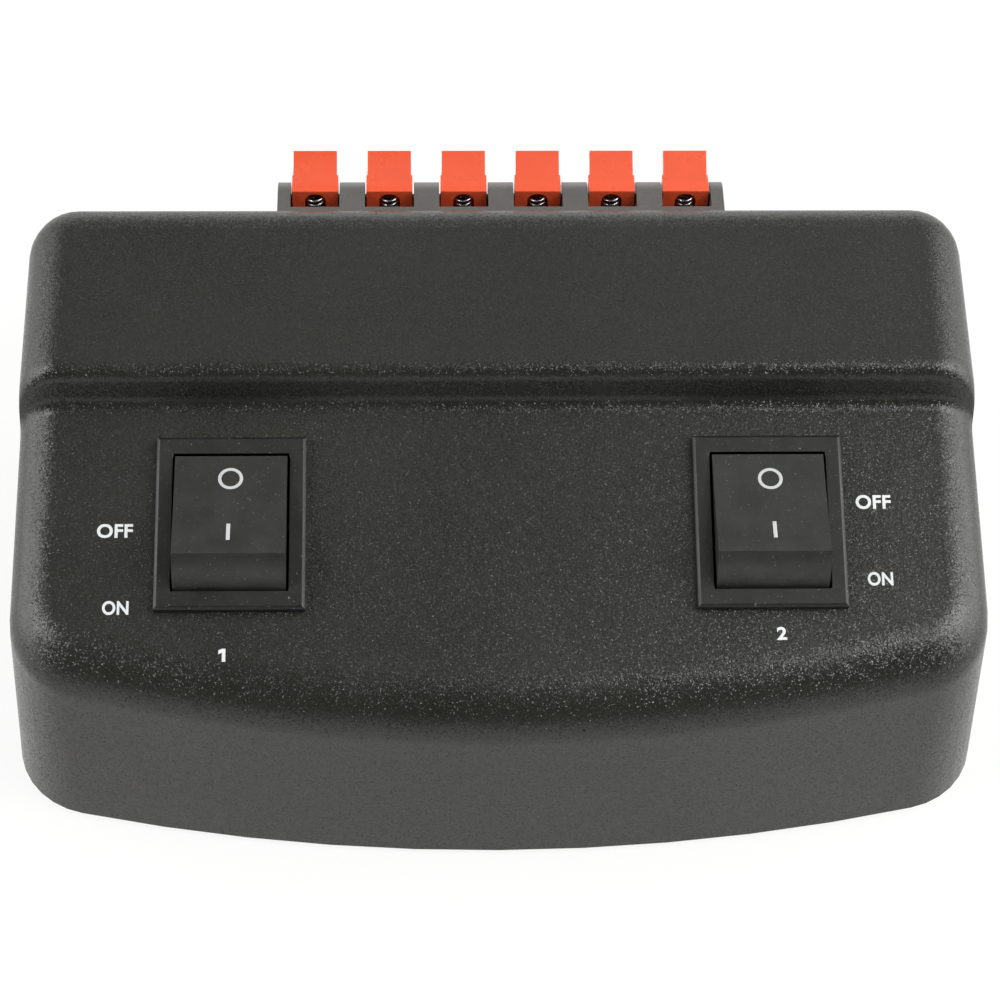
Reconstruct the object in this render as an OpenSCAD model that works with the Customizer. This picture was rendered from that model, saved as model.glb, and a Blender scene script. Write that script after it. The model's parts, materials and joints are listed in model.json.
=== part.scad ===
// Two-way loudspeaker switch console: a moulded desk-top case with two rocker switches
// on its sloping panel and a block of twelve spring wire terminals on its rear wall.
// Millimetres, +X right, +Y to the rear, +Z up, standing on its feet at z = 0.

/* [Console case] */
// Width of the case at its bottom rim
case_w = 170; // [164:1:190]
// Depth of the case at its bottom rim, front centre to rear wall
case_d = 96; // [95:1:110]
// Height of the panel plane above the rim, at the front centre
front_h = 37.7; // [36:0.1:46]
// Wall thickness of the case
wall = 2.5; // [2:0.1:2.6]
// Lean of the outer walls, in degrees
wall_draft = 2.6; // [1:0.1:3]
// Radius of the bowed front, seen from above
front_bow_r = 330; // [250:10:600]
// Corner radius at the front, seen from above
front_corner_r = 15; // [14.5:0.5:18]
// Corner radius at the rear, seen from above
rear_corner_r = 11.5; // [11.5:0.5:16]
// Rounding of the top edges
top_round = 7.5; // [5:0.5:8]

/* [Panel and hump] */
// Slope of the switch panel, in degrees
panel_slope = 18; // [14:1:20]
// Distance from the front centre back to the step
step_from_front = 55.5; // [54:0.5:58]
// Rise of the hump above the panel at the step
step_h = 7.7; // [6.5:0.1:9]
// Rounding of the hump's front edge
step_edge_r = 3.3; // [2.8:0.1:3.6]
// Radius of the cove at the foot of the step
step_cove_r = 3; // [1:0.1:3.2]
// Lean of the step's face, in degrees
step_draft = 4; // [2:0.5:8]
// Slope of the hump's top, in degrees
hump_slope = 8.5; // [4:0.5:9]

/* [Base] */
// Thickness of the base plate
base_t = 3; // [2.5:0.1:4]
// Gap all round between the base plate and the case
base_gap = 0.3; // [0.2:0.05:0.6]
// Diameter of each rubber foot
foot_d = 12; // [8:0.5:14]
// Thickness of each rubber foot
foot_h = 2.6; // [2.2:0.1:3]
// Depth of the pocket that holds a foot
foot_pocket = 1.1; // [0.6:0.1:1.4]
// Diameter of the screw posts inside the case
post_d = 7.2; // [6:0.2:8]
// Distance of each post's axis from the case's side
post_side = 14; // [13:0.5:16]
// Distance of the front posts from the front centre
post_front = 17; // [16:0.5:20]
// Distance of the rear posts from the rear wall
post_rear = 14; // [13:0.5:18]
// Thread diameter of the screws
screw_d = 2.9; // [2.5:0.1:3.1]
// Length of the case screws
screw_len = 12; // [9:0.5:16]
// Diameter of the countersunk screw heads
screw_head_d = 5.6; // [5:0.1:6]

/* [Rocker switches] */
// Distance between the two switches, centre to centre
switch_pitch = 91.4; // [86:0.2:96]
// Distance from the front centre back to the switches
switch_from_front = 34.4; // [34:0.1:36.5]
// Width of the bezel
bezel_w = 25.5; // [25:0.1:27]
// Length of the bezel
bezel_l = 31; // [30.6:0.1:32]
// Thickness of the bezel
bezel_t = 1.8; // [1.4:0.1:2.4]
// Width of the bezel's opening
mouth_w = 19.8; // [19:0.1:20]
// Length of the bezel's opening
mouth_l = 24.5; // [24:0.1:25]
// Side wall of the switch housing
housing_wall = 1.1; // [0.9:0.1:1.4]
// Depth of the switch housing below the panel
housing_depth = 22; // [21:0.5:25]
// Gap between the rocker and the mouth, each side
rocker_gap = 0.4; // [0.3:0.05:0.6]
// Swing of the rocker from off to on, in degrees
rocker_swing = 29; // [24:1:30]
// Height of the pressed edge above the bezel
rocker_flush = 0.5; // [0.3:0.1:0.8]
// Hollow of the rocker's top
rocker_dish = 0.5; // [0.3:0.1:0.8]
// Wall of the rocker
rocker_wall = 1.4; // [1.1:0.1:1.8]
// Diameter of the rocker's pivot pins
pivot_d = 3; // [2.4:0.1:3.2]
// Radial clearance of a pin in its hole
pin_gap = 0.05; // [0.04:0.01:0.09]
// Depth of the pivot below the bezel's top
pivot_depth = 4.9; // [4.6:0.1:5.1]
// Distance of each pole from the switch's middle
pole_x = 5; // [4.6:0.1:5.4]
// Diameter of the spring-loaded plungers
plunger_d = 3.4; // [3:0.1:3.6]
// Width of the blade terminals
blade_w = 6.3; // [4.8:0.1:6.4]
// Thickness of the blade terminals
blade_t = 0.8; // [0.6:0.1:1]
// Length of the blades below the housing
blade_len = 9; // [7:0.5:10]

/* [Terminal block] */
// Distance between neighbouring terminals
term_pitch = 13.5; // [13.2:0.1:14]
// Number of terminals in each row
term_count = 6; // [6]
// Height of the block
term_h = 44; // [43:0.5:47]
// Width of the block beyond its end levers' centres, both sides together
term_ends = 13.5; // [12.5:0.5:15]
// Distance from the rear wall to the block's outer face
term_out = 14; // [14:0.1:16]
// Rounding of the block's outer edges
term_round = 5; // [3:0.5:5.5]
// Offset of the block to the right of the case's middle
term_shift = 1.3; // [-2:0.1:2]
// Drop of the block's top below the hump's rear edge
term_drop = 12.6; // [11.5:0.1:14]
// Thickness of the mounting flange
flange_t = 2.5; // [2:0.1:3]
// Width of the ear beyond each end of the block
ear_w = 9; // [8:0.5:11]
// Press travel of a lever
lever_travel = 3; // [2.5:0.1:3]
// Width of a lever's plunger
lever_w = 8.4; // [7.8:0.1:8.6]
// Depth of a lever's plunger, front to rear
lever_d = 4.2; // [4.1:0.1:4.4]
// Width of a lever's finger tab
tab_w = 7.9; // [7.2:0.1:8.2]
// Length of a lever's finger tab
tab_len = 5.4; // [4:0.1:7]
// Thickness of a lever's finger tab
tab_t = 1.5; // [1.2:0.1:1.8]
// Upward turn of a finger tab, in degrees
tab_turn = 30; // [20:1:40]
// Running gap round a lever
lever_gap = 0.25; // [0.2:0.05:0.4]
// Outside diameter of a lever spring
spring_d = 3.3; // [3:0.1:3.4]
// Wire diameter of a lever spring
spring_wire = 0.5; // [0.4:0.05:0.55]
// Turns of a lever spring
spring_turns = 5; // [4:1:5]
// Diameter of a wire entry
entry_d = 3.2; // [2.8:0.1:3.2]
// Width of a contact strip
strip_w = 3; // [2.6:0.1:3.2]
// Thickness of a contact strip
strip_t = 0.6; // [0.5:0.05:0.7]

/* [Hidden] */

round_fn = 20;
pin_fn = 16;
small_fn = 12;
tiny_fn = 8;
end_fn = 60;
eps = 0.01;
seat = 0.05;
pull = 1;
post_root = 0.6;

// Case: places and planes
half_w = case_w / 2;
tab_reach = tab_len * cos(tab_turn) + tab_t * sin(tab_turn);
lever_front = 8.8;
tab_root = 3;
overall_d = case_d + lever_front + tab_root + tab_reach;
front_y = -overall_d / 2;
rear_y = front_y + case_d;
rim_z = foot_h - foot_pocket;
step_y = front_y + step_from_front;
function panel_z(y) = rim_z + front_h + (y - front_y) * tan(panel_slope);
edge_y = step_y + step_h * tan(step_draft);
edge_z = panel_z(step_y) + step_h;
function hump_z(y) = edge_z + (y - edge_y) * tan(hump_slope);
function top_plane(y, t) =
    y < step_y ? panel_z(y) - t / cos(panel_slope) : hump_z(y) - t / cos(hump_slope);

// Case: outline seen from above, as rays [centre x, centre y, direction x, direction y, radius]
arc_steps = 5;
corner_steps = 7;
round_steps = 8;
lining_steps = 2;
step_steps = 5;
front_arc_y = front_y + front_bow_r;
front_corner_x = half_w - front_corner_r;
front_corner_y =
    front_arc_y - sqrt(pow(front_bow_r - front_corner_r, 2) - pow(front_corner_x, 2));
front_arc_end = asin(front_corner_x / (front_bow_r - front_corner_r));
rear_corner_x = half_w - rear_corner_r;
rear_corner_y = rear_y - rear_corner_r;
front_rays = [
    for (i = [0:arc_steps - 1])
        let (a = front_arc_end * i / arc_steps)
        [0, front_arc_y, sin(a), -cos(a), front_bow_r]
];
front_corner_rays = [
    for (i = [0:corner_steps])
        let (a = front_arc_end + (90 - front_arc_end) * i / corner_steps)
        [front_corner_x, front_corner_y, sin(a), -cos(a), front_corner_r]
];
rear_corner_rays = [
    for (i = [0:corner_steps])
        let (a = 90 * i / corner_steps)
        [rear_corner_x, rear_corner_y, cos(a), sin(a), rear_corner_r]
];
function ray_at(ray, inset) =
    [ray[0] + ray[2] * (ray[4] - inset), ray[1] + ray[3] * (ray[4] - inset)];

// Case: side view of the step, as [y, z] points of the surface t below the outer one
panel_normal = [-sin(panel_slope), cos(panel_slope)];
hump_normal = [-sin(hump_slope), cos(hump_slope)];
face_normal = [-cos(step_draft), sin(step_draft)];
cove_centre = [step_y, panel_z(step_y)]
    + step_cove_r * (panel_normal + face_normal) / (1 + panel_normal * face_normal);
edge_centre = [edge_y, edge_z]
    - step_edge_r * (hump_normal + face_normal) / (1 + hump_normal * face_normal);
function step_profile(t) = concat(
    [for (i = [0:step_steps])
        let (a = panel_slope + (90 - step_draft - panel_slope) * i / step_steps)
        cove_centre + (step_cove_r + t) * [sin(a), -cos(a)]],
    [for (i = [0:step_steps])
        let (a = step_draft + (90 - hump_slope - step_draft) * i / step_steps)
        edge_centre + (step_edge_r - t) * [-cos(a), sin(a)]]);

// Case: one half ring of surface points, t inside the outer surface
function lean(z) = (z - rim_z) * tan(wall_draft);
function ray_point(ray, t, inset, drop) =
    let (near = ray_at(ray, t + inset))
    let (z = top_plane(near[1], t) - drop)
    let (p = ray_at(ray, t + inset + lean(z)))
    [p[0], p[1], top_plane(p[1], t) - drop];
function side_point(p, t, inset, drop) =
    [half_w - t - inset - lean(p[1] - drop), p[0], p[1] - drop];
function half_ring(t, inset, drop) = concat(
    [for (ray = front_rays) ray_point(ray, t, inset, drop)],
    [for (ray = front_corner_rays) ray_point(ray, t, inset, drop)],
    [for (p = step_profile(t)) side_point(p, t, inset, drop)],
    [for (ray = rear_corner_rays) ray_point(ray, t, inset, drop)]);
side_count = 2 * step_steps + 2;
function rim_half(t, z) =
    let (inset = t + lean(z))
    concat(
        [for (ray = concat(front_rays, front_corner_rays)) concat(ray_at(ray, inset), z)],
        [for (i = [1:side_count])
            let (f = i / (side_count + 1))
            [half_w - inset, front_corner_y + f * (rear_corner_y - front_corner_y), z]],
        [for (ray = rear_corner_rays) concat(ray_at(ray, inset), z)]);
function full_ring(half) = concat(
    half,
    [for (i = [len(half) - 1:-1:1]) [-half[i][0], half[i][1], half[i][2]]]);
function round_ring(t, i, steps) =
    let (r = top_round - t, a = 90 * i / steps)
    full_ring(half_ring(t, r * (1 - cos(a)), r * (1 - sin(a))));

// Faces: a band between two rings of n points, and the strips that close a ring's top
function band(lower, upper, n) = [
    for (i = [0:n - 1])
        let (j = (i + 1) % n)
        each [[lower + i, upper + i, upper + j], [lower + i, upper + j, lower + j]]
];
function cap(first, n) = concat(
    [[first, first + n - 1, first + 1]],
    [for (i = [1:(n - 1) / 2 - 1])
        [first + n - i, first + n - i - 1, first + i + 1, first + i]]);
function skin(steps, n) = concat(
    [for (i = [0:steps]) each band(i * n, (i + 1) * n, n)],
    cap((steps + 1) * n, n));
function reversed(faces) = [for (f = faces) [for (i = [len(f) - 1:-1:0]) f[i]]];

// Switches: places
switch_y = front_y + switch_from_front;
housing_w = mouth_w + 2 * housing_wall;
pivot_z = bezel_t - pivot_depth;
rocker_w = mouth_w - 2 * rocker_gap;
rocker_end_r = norm([mouth_l / 2 - rocker_gap, pivot_depth]);
housing_in_l = 2 * (rocker_end_r + rocker_gap);
housing_l = housing_in_l + 2 * housing_wall;
cut_gap = 0.2;
floor_t = 2.5;
floor_z = -housing_depth + floor_t;
pressed_angle = asin((pivot_depth + rocker_flush) / rocker_end_r);
top_angle = pressed_angle + rocker_swing / 2;
rocker_edge = rocker_end_r * cos(top_angle);
rocker_top = rocker_end_r * sin(top_angle);
dish_r = (rocker_edge * rocker_edge + rocker_dish * rocker_dish) / (2 * rocker_dish);
pin_len = housing_wall + rocker_gap - 0.1;
bore_d = plunger_d + 2 * pin_gap;
socket_d = bore_d + 2;
socket_end = -3.6;
bore_top = 4.6;
plunger_nose = 1.2;
plunger_tip = -9.9;
plunger_len = 7;
plunger_spring_turns = 3;
plunger_spring_wire = 0.45;
bridge_swing = 10;
bridge_t = 0.6;
bridge_w = 4;
bridge_l = 17;
bridge_dip = 0.7;
bridge_root = 2.4;
bridge_top = plunger_tip - 0.1;
bridge_axis_z = bridge_top - bridge_t - bridge_dip + 0.15;
blade_gap = 0.05;
fixed_y = bridge_l / 2 - 1.6;
contact_d = 2.6;
contact_t = 0.7;
wing_out = 0.9;
wing_h = 5;
wing_w = 6;

// Terminal block: places
term_w = (term_count - 1) * term_pitch + term_ends;
term_top = hump_z(rear_y) - term_drop;
term_mid = term_top - term_h / 2;
half_h = term_h / 2;
mid_wall = 0.5;
slot_front = 5;
lever_foot = mid_wall + lever_travel + 0.4;
foot_lug = 0.8;
lug_h = 1.2;
window_low = lever_foot + 1.3;
strip_low = window_low + 0.2;
window_top = strip_low + strip_t + lever_travel + 0.3;
window_w = strip_w + 0.6;
recess_low = window_top + 0.8;
recess_r = spring_d / 2 + 0.25;
recess_top = half_h - 0.8;
recess_deep = 3;
shelf_t = 1;
shelf_low = recess_low + lever_travel + 0.1;
spring_seat = shelf_low + shelf_t;
spring_y = lever_front + recess_deep - 0.15 - spring_d / 2;
spring_top = recess_top - recess_r + sqrt(pow(recess_r, 2) - pow(spring_d / 2, 2)) - 0.06;
entry_z = (window_low - lever_travel + strip_low) / 2;
strip_in = 11;
strip_end = lever_front + lever_d - 0.3;
tongue = 3;
open_gap = 0.4;
pad_edge = 1.5;
ear_hole = term_w / 2 + ear_w / 2;
term_screw_len = 9;

function term_x(column) = term_shift + (column - (term_count + 1) / 2) * term_pitch;

module at_switch(n) {
    translate([(n - 1.5) * switch_pitch, switch_y, panel_z(switch_y)])
        rotate([panel_slope, 0, 0])
            children();
}

module at_rocker(n) {
    at_switch(n)
        translate([0, 0, pivot_z])
            rotate([-rocker_swing / 2, 0, 0])
                children();
}

module each_pole() {
    for (side = [-1, 1])
        translate([side * pole_x, 0, 0])
            children();
}

module along_x(length) {
    rotate([90, 0, 90])
        linear_extrude(height = length, center = true)
            children();
}

module box(low, high) {
    translate(low)
        cube(high - low);
}

// A tube swept along a path of points, with flat ends
function tangent(path, i) =
    let (d = path[min(i + 1, len(path) - 1)] - path[max(i - 1, 0)])
    d / norm(d);
function carried(path, i, n) =
    i == len(path)
        ? []
        : let (t = tangent(path, i), m = n - t * (n * t), u = m / norm(m))
            concat([u], carried(path, i + 1, u));

module tube(path, r, sides, start) {
    normals = carried(path, 0, start);
    rings = [
        for (i = [0:len(path) - 1])
            let (u = normals[i], v = cross(tangent(path, i), u))
            for (s = [0:sides - 1])
                path[i] + r * (cos(360 * s / sides) * u + sin(360 * s / sides) * v)
    ];
    last = (len(path) - 1) * sides;
    faces = concat(
        [[for (s = [0:sides - 1]) s]],
        [for (i = [0:len(path) - 2]) each band(i * sides, (i + 1) * sides, sides)],
        [[for (s = [sides - 1:-1:0]) last + s]]);
    polyhedron(points = rings, faces = faces);
}

// A coil spring standing on z = 0, its outside at diameter d and its height h
curl_rings = 8;
curl_sides = 6;
function coil_path(d, wire, turns, h) = [
    for (i = [0:turns * curl_rings])
        let (a = 360 * i / curl_rings, f = i / (turns * curl_rings))
        [(d - wire) / 2 * cos(a), (d - wire) / 2 * sin(a), wire / 2 + f * (h - wire)]
];
function least_gap(path, wire) = min([
    for (i = [0:len(path) - 1])
        for (j = [i + curl_rings - 2:1:len(path) - 1])
            norm(path[i] - path[j]) - wire
]);

module coil(d, wire, turns, h) {
    tube(coil_path(d, wire, turns, h), wire / 2, curl_sides, [1, 0, 0]);
}

// Case
module shell_form() {
    n = len(round_ring(0, 0, 1));
    outer = concat(
        full_ring(rim_half(0, rim_z)),
        [for (i = [0:round_steps]) each round_ring(0, i, round_steps)]);
    inner = concat(
        full_ring(rim_half(wall, rim_z)),
        [for (i = [0:lining_steps]) each round_ring(wall, i, lining_steps)]);
    m = len(outer);
    lining = [for (f = skin(lining_steps, n)) [for (v = f) v + m]];
    rim = [for (i = [0:n - 1]) let (j = (i + 1) % n) [i, j, j + m, i + m]];
    polyhedron(
        points = concat(outer, inner),
        faces = concat(skin(round_steps, n), reversed(lining), rim));
}

module each_post() {
    for (side = [-1, 1]) {
        translate([side * (half_w - post_side), front_y + post_front, 0])
            children();
        translate([side * (half_w - post_side), rear_y - post_rear, 0])
            children();
    }
}

module post(y, slope) {
    base = rim_z + base_t;
    translate([0, y, 0])
        difference() {
            translate([0, 0, base])
                cylinder(d = post_d, h = top_plane(y, 0) - base, $fn = small_fn);
            translate([0, 0, top_plane(y, wall - post_root)])
                rotate([slope, 0, 0])
                    box([-post_d, -post_d, 0], [post_d, post_d, 3 * wall]);
            translate([0, 0, base - pull])
                cylinder(d = screw_d, h = pull + screw_len, $fn = small_fn);
        }
}

module top_cover() {
    pad_w = term_w + 2 * ear_w + 2 * pad_edge;
    pad_low = term_mid - half_h - pad_edge;
    pad_high = term_top + pad_edge;
    open_half = term_w / 2 - pad_edge + open_gap;
    open_low = term_mid - half_h + pad_edge - open_gap;
    color([0.2, 0.2, 0.19])
        difference() {
            union() {
                shell_form();
                translate([term_shift, 0, 0])
                    box(
                        [-pad_w / 2, rear_y - lean(pad_high) - 0.4, pad_low],
                        [pad_w / 2, rear_y, pad_high]);
                for (side = [-1, 1])
                    translate([side * (half_w - post_side), 0, 0]) {
                        post(front_y + post_front, panel_slope);
                        post(rear_y - post_rear, hump_slope);
                    }
            }
            for (n = [1, 2])
                at_switch(n)
                    box(
                        [-housing_w / 2 - cut_gap, -housing_l / 2 - cut_gap, -3 * wall],
                        [housing_w / 2 + cut_gap, housing_l / 2 + cut_gap, 3 * wall]);
            translate([term_shift, 0, 0])
                box(
                    [-open_half, rear_y - 3 * wall, open_low],
                    [open_half, rear_y + pull, 2 * term_mid - open_low]);
            for (side = [-1, 1])
                translate([term_shift + side * ear_hole, rear_y + pull, term_mid])
                    rotate([90, 0, 0])
                        cylinder(d = screw_d, h = pull + 4 * wall, $fn = small_fn);
        }
}

module countersunk_screw(length) {
    head_h = (screw_head_d - screw_d) / 2;
    shank = screw_d / 2 - seat;
    rotate_extrude($fn = small_fn)
        polygon([[0, 0], [screw_head_d / 2, 0], [shank, head_h], [shank, length], [0, length]]);
}

module countersink(length) {
    head_h = (screw_head_d - screw_d) / 2;
    wide = seat * 2;
    mouth = screw_head_d / 2 + 2 * wide;
    bore = screw_d / 2 + wide;
    rotate_extrude($fn = small_fn)
        polygon([[0, -wide], [mouth, -wide], [bore, head_h], [bore, length], [0, length]]);
}

module each_foot() {
    for (x = [-1, 1])
        for (y = [front_y + foot_d * 1.6, rear_y - foot_d * 1.6])
            translate([x * (half_w - post_side - post_d - foot_d), y, 0])
                children();
}

module base_plate() {
    color([0.16, 0.16, 0.16])
        difference() {
            translate([0, 0, rim_z])
                linear_extrude(height = base_t)
                    polygon([for (p = full_ring(rim_half(wall + base_gap, rim_z + base_t)))
                        [p[0], p[1]]]);
            each_post()
                translate([0, 0, rim_z])
                    countersink(base_t + pull);
            each_foot()
                translate([0, 0, rim_z - pull])
                    cylinder(d = foot_d + 4 * seat, h = pull + foot_pocket, $fn = round_fn);
        }
}

module base_screws() {
    color([0.75, 0.76, 0.78])
        each_post()
            translate([0, 0, rim_z])
                countersunk_screw(screw_len);
}

module rubber_feet() {
    color([0.1, 0.1, 0.1])
        each_foot()
            rotate_extrude($fn = round_fn)
                polygon([
                    [0, 0], [foot_d / 2 - foot_h / 4, 0], [foot_d / 2, foot_h / 3],
                    [foot_d / 2, foot_h], [0, foot_h]]);
}

// Switches
module bezel_form() {
    bevel = 0.5;
    hull() {
        box([-bezel_w / 2, -bezel_l / 2, 0], [bezel_w / 2, bezel_l / 2, bezel_t - bevel]);
        box(
            [-bezel_w / 2 + bevel, -bezel_l / 2 + bevel, 0],
            [bezel_w / 2 - bevel, bezel_l / 2 - bevel, bezel_t]);
    }
}

module wing(side) {
    under = -wall - 0.15;
    translate([0, side * (housing_l / 2 - eps), 0])
        mirror([0, side < 0 ? 1 : 0, 0])
            along_x(wing_w)
                polygon([[0, under], [wing_out, under], [wing_out, under - 1], [0, under - wing_h]]);
}

module blade_slots(gap) {
    each_pole()
        for (y = [0, fixed_y])
            box(
                [-blade_w / 2 - gap, y - blade_t / 2 - gap, -housing_depth - pull],
                [blade_w / 2 + gap, y + blade_t / 2 + gap, floor_z + pull]);
}

module switch_body(n) {
    color([0.13, 0.13, 0.13])
        at_switch(n)
            difference() {
                union() {
                    bezel_form();
                    box(
                        [-housing_w / 2, -housing_l / 2, -housing_depth],
                        [housing_w / 2, housing_l / 2, eps]);
                    wing(-1);
                    wing(1);
                }
                box([-mouth_w / 2, -mouth_l / 2, -pull], [mouth_w / 2, mouth_l / 2, bezel_t + pull]);
                translate([0, 0, pivot_z])
                    along_x(mouth_w)
                        circle(r = rocker_end_r + rocker_gap, $fn = end_fn);
                box([-mouth_w / 2, -housing_in_l / 2, floor_z], [mouth_w / 2, housing_in_l / 2, 0]);
                translate([0, 0, pivot_z])
                    rotate([0, 90, 0])
                        cylinder(
                            d = pivot_d + 2 * pin_gap,
                            h = housing_w + 2 * pull,
                            center = true,
                            $fn = pin_fn);
                blade_slots(blade_gap);
            }
}

module switch_blades(n) {
    saddle_z = pivot_z + bridge_axis_z - 0.35;
    fixed_z = floor_z + 1;
    color([0.82, 0.66, 0.3])
        at_switch(n)
            each_pole() {
                difference() {
                    box(
                        [-blade_w / 2, -blade_t / 2, -housing_depth - blade_len],
                        [blade_w / 2, blade_t / 2, saddle_z]);
                    translate([0, 0, -housing_depth - blade_len + 2.5])
                        rotate([90, 0, 0])
                            cylinder(d = 1.6, h = 3 * blade_t, center = true, $fn = tiny_fn);
                }
                difference() {
                    box(
                        [-blade_w / 2, fixed_y - blade_t / 2, -housing_depth - blade_len],
                        [blade_w / 2, fixed_y + blade_t / 2, fixed_z]);
                    translate([0, fixed_y, -housing_depth - blade_len + 2.5])
                        rotate([90, 0, 0])
                            cylinder(d = 1.6, h = 3 * blade_t, center = true, $fn = tiny_fn);
                }
                box(
                    [-bridge_w / 2, fixed_y - blade_t / 2, fixed_z - blade_t],
                    [bridge_w / 2, fixed_y + contact_d / 2, fixed_z]);
                translate([0, fixed_y + 0.1, fixed_z - eps])
                    cylinder(d = contact_d - 0.4, h = contact_t, $fn = small_fn);
            }
}

module rocker_profile() {
    intersection() {
        circle(r = rocker_end_r, $fn = end_fn);
        difference() {
            translate([-rocker_end_r, -1])
                square([2 * rocker_end_r, rocker_top + 1]);
            translate([0, rocker_top - rocker_dish + dish_r])
                circle(r = dish_r, $fn = 180);
        }
    }
}

module rocker_hollow() {
    intersection() {
        circle(r = rocker_end_r - rocker_wall, $fn = end_fn / 2);
        translate([-rocker_end_r, -pull - 1])
            square([2 * rocker_end_r, rocker_top - rocker_dish - rocker_wall + pull + 1]);
    }
}

module rocker(n) {
    color([0.2, 0.2, 0.2])
        at_rocker(n)
            difference() {
                union() {
                    difference() {
                        along_x(rocker_w)
                            rocker_profile();
                        along_x(rocker_w - 2 * rocker_wall)
                            rocker_hollow();
                    }
                    for (side = [-1, 1])
                        translate([side * (rocker_w / 2 - rocker_wall / 2), 0, 0])
                            rotate([0, 90, 0])
                                cylinder(d = pivot_d + 2, h = rocker_wall, center = true, $fn = small_fn);
                    for (side = [-1, 1])
                        translate([side * (rocker_w / 2 + pin_len / 2 - 0.3), 0, 0])
                            rotate([0, 90, 0])
                                cylinder(d = pivot_d, h = pin_len + 0.6, center = true, $fn = pin_fn);
                    each_pole()
                        translate([0, 0, socket_end])
                            cylinder(
                                d = socket_d,
                                h = rocker_top - rocker_dish - rocker_wall / 2 - socket_end,
                                $fn = small_fn);
                }
                each_pole()
                    translate([0, 0, socket_end - pull])
                        cylinder(d = bore_d, h = bore_top - socket_end + pull, $fn = small_fn);
            }
}

module rocker_plungers(n) {
    color([0.9, 0.9, 0.86])
        at_rocker(n)
            each_pole()
                translate([0, 0, plunger_tip + plunger_nose])
                    rotate_extrude($fn = small_fn)
                        polygon(concat(
                            [for (a = [0, 30, 60, 90]) plunger_nose * [sin(a), -cos(a)]],
                            [[plunger_d / 2, 1.2], [plunger_d / 2, plunger_len - plunger_nose],
                                [0, plunger_len - plunger_nose]]));
}

plunger_back = plunger_tip + plunger_len;
plunger_spring_h = bore_top - plunger_back - 2 * seat;
plunger_spring_d = plunger_d - 0.2;

module plunger_springs(n) {
    color([0.7, 0.72, 0.75])
        at_rocker(n)
            each_pole()
                translate([0, 0, plunger_back + seat])
                    coil(plunger_spring_d, plunger_spring_wire, plunger_spring_turns, plunger_spring_h);
}

module bridge_profile() {
    top = bridge_dip;
    polygon([
        [-bridge_l / 2, top], [-bridge_root, top], [-0.5, 0],
        [0.5, 0], [bridge_root, top], [bridge_l / 2, top],
        [bridge_l / 2, top + bridge_t], [bridge_root - 0.2, top + bridge_t], [0.3, bridge_t],
        [-0.3, bridge_t], [-bridge_root + 0.2, top + bridge_t], [-bridge_l / 2, top + bridge_t]]);
}

module contact_bridges(n) {
    color([0.85, 0.6, 0.35])
        at_switch(n)
            each_pole()
                translate([0, 0, pivot_z + bridge_axis_z])
                    rotate([bridge_swing / 2, 0, 0]) {
                        translate([0, 0, -0.15])
                            along_x(bridge_w)
                                bridge_profile();
                        translate([0, fixed_y, bridge_dip - 0.15 - contact_t + 0.1])
                            cylinder(d = contact_d, h = contact_t, $fn = small_fn);
                    }
}

// Terminal block, with the upper row at z > 0 and the rear wall's face at y = 0
module at_term(column, row) {
    translate([term_x(column), rear_y, term_mid])
        mirror([0, 0, row < 0 ? 1 : 0])
            children();
}

module block_form() {
    intersection() {
        box([-term_w / 2, 0, -half_h], [term_w / 2, term_out, half_h]);
        union() {
            box([-term_w, 0, -half_h], [term_w, term_out - term_round, half_h]);
            box([-term_w, 0, -half_h + term_round], [term_w, term_out, half_h - term_round]);
            for (side = [-1, 1])
                translate([0, term_out - term_round, side * (half_h - term_round)])
                    rotate([0, 90, 0])
                        cylinder(r = term_round, h = 2 * term_w, center = true, $fn = round_fn);
        }
    }
}

module lever_cavity() {
    half = lever_w / 2 + lever_gap;
    back = lever_front + lever_d + lever_gap;
    box([-half, slot_front, mid_wall], [half, back, half_h + pull]);
    box([-half, lever_front - 2, half_h - 6], [half, term_out + pull, half_h + pull]);
    box(
        [-half - foot_lug, lever_front - lever_gap, mid_wall],
        [half + foot_lug, back, lever_foot + lug_h + seat]);
    translate([0, back - pull, entry_z])
        rotate([-90, 0, 0])
            cylinder(d = entry_d, h = term_out, $fn = small_fn);
    box(
        [-strip_w / 2 - seat, -tongue - pull, strip_low - seat],
        [strip_w / 2 + seat, slot_front + pull, strip_low + strip_t + seat]);
}

module lever_shelf() {
    half = recess_r - 0.3;
    box([-half, slot_front - eps, shelf_low], [half, lever_front + recess_deep - 0.2, spring_seat]);
}

module terminal_housing() {
    plate_w = term_w + 2 * ear_w;
    color([0.22, 0.22, 0.22]) {
        difference() {
            union() {
                translate([term_shift, rear_y, term_mid]) {
                    block_form();
                    box([-plate_w / 2, 0, -half_h + 2], [plate_w / 2, flange_t, half_h - 2]);
                    box(
                        [-term_w / 2 + pad_edge, -tongue, -half_h + pad_edge],
                        [term_w / 2 - pad_edge, eps, half_h - pad_edge]);
                }
            }
            for (row = [-1, 1])
                for (column = [1:term_count])
                    at_term(column, row)
                        lever_cavity();
            for (side = [-1, 1])
                translate([term_shift + side * ear_hole, rear_y + flange_t, term_mid])
                    rotate([90, 0, 0])
                        countersink(flange_t + pull);
        }
        for (row = [-1, 1])
            for (column = [1:term_count])
                at_term(column, row)
                    lever_shelf();
    }
}

module terminal_screws() {
    color([0.75, 0.76, 0.78])
        for (side = [-1, 1])
            translate([term_shift + side * ear_hole, rear_y + flange_t, term_mid])
                rotate([90, 0, 0])
                    countersunk_screw(term_screw_len);
}

module contact_strip() {
    difference() {
        box([-strip_w / 2, -strip_in, strip_low], [strip_w / 2, strip_end, strip_low + strip_t]);
        translate([0, -strip_in + 2, strip_low - pull])
            cylinder(d = 1.5, h = 2 * pull + strip_t, $fn = tiny_fn);
    }
}

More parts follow.
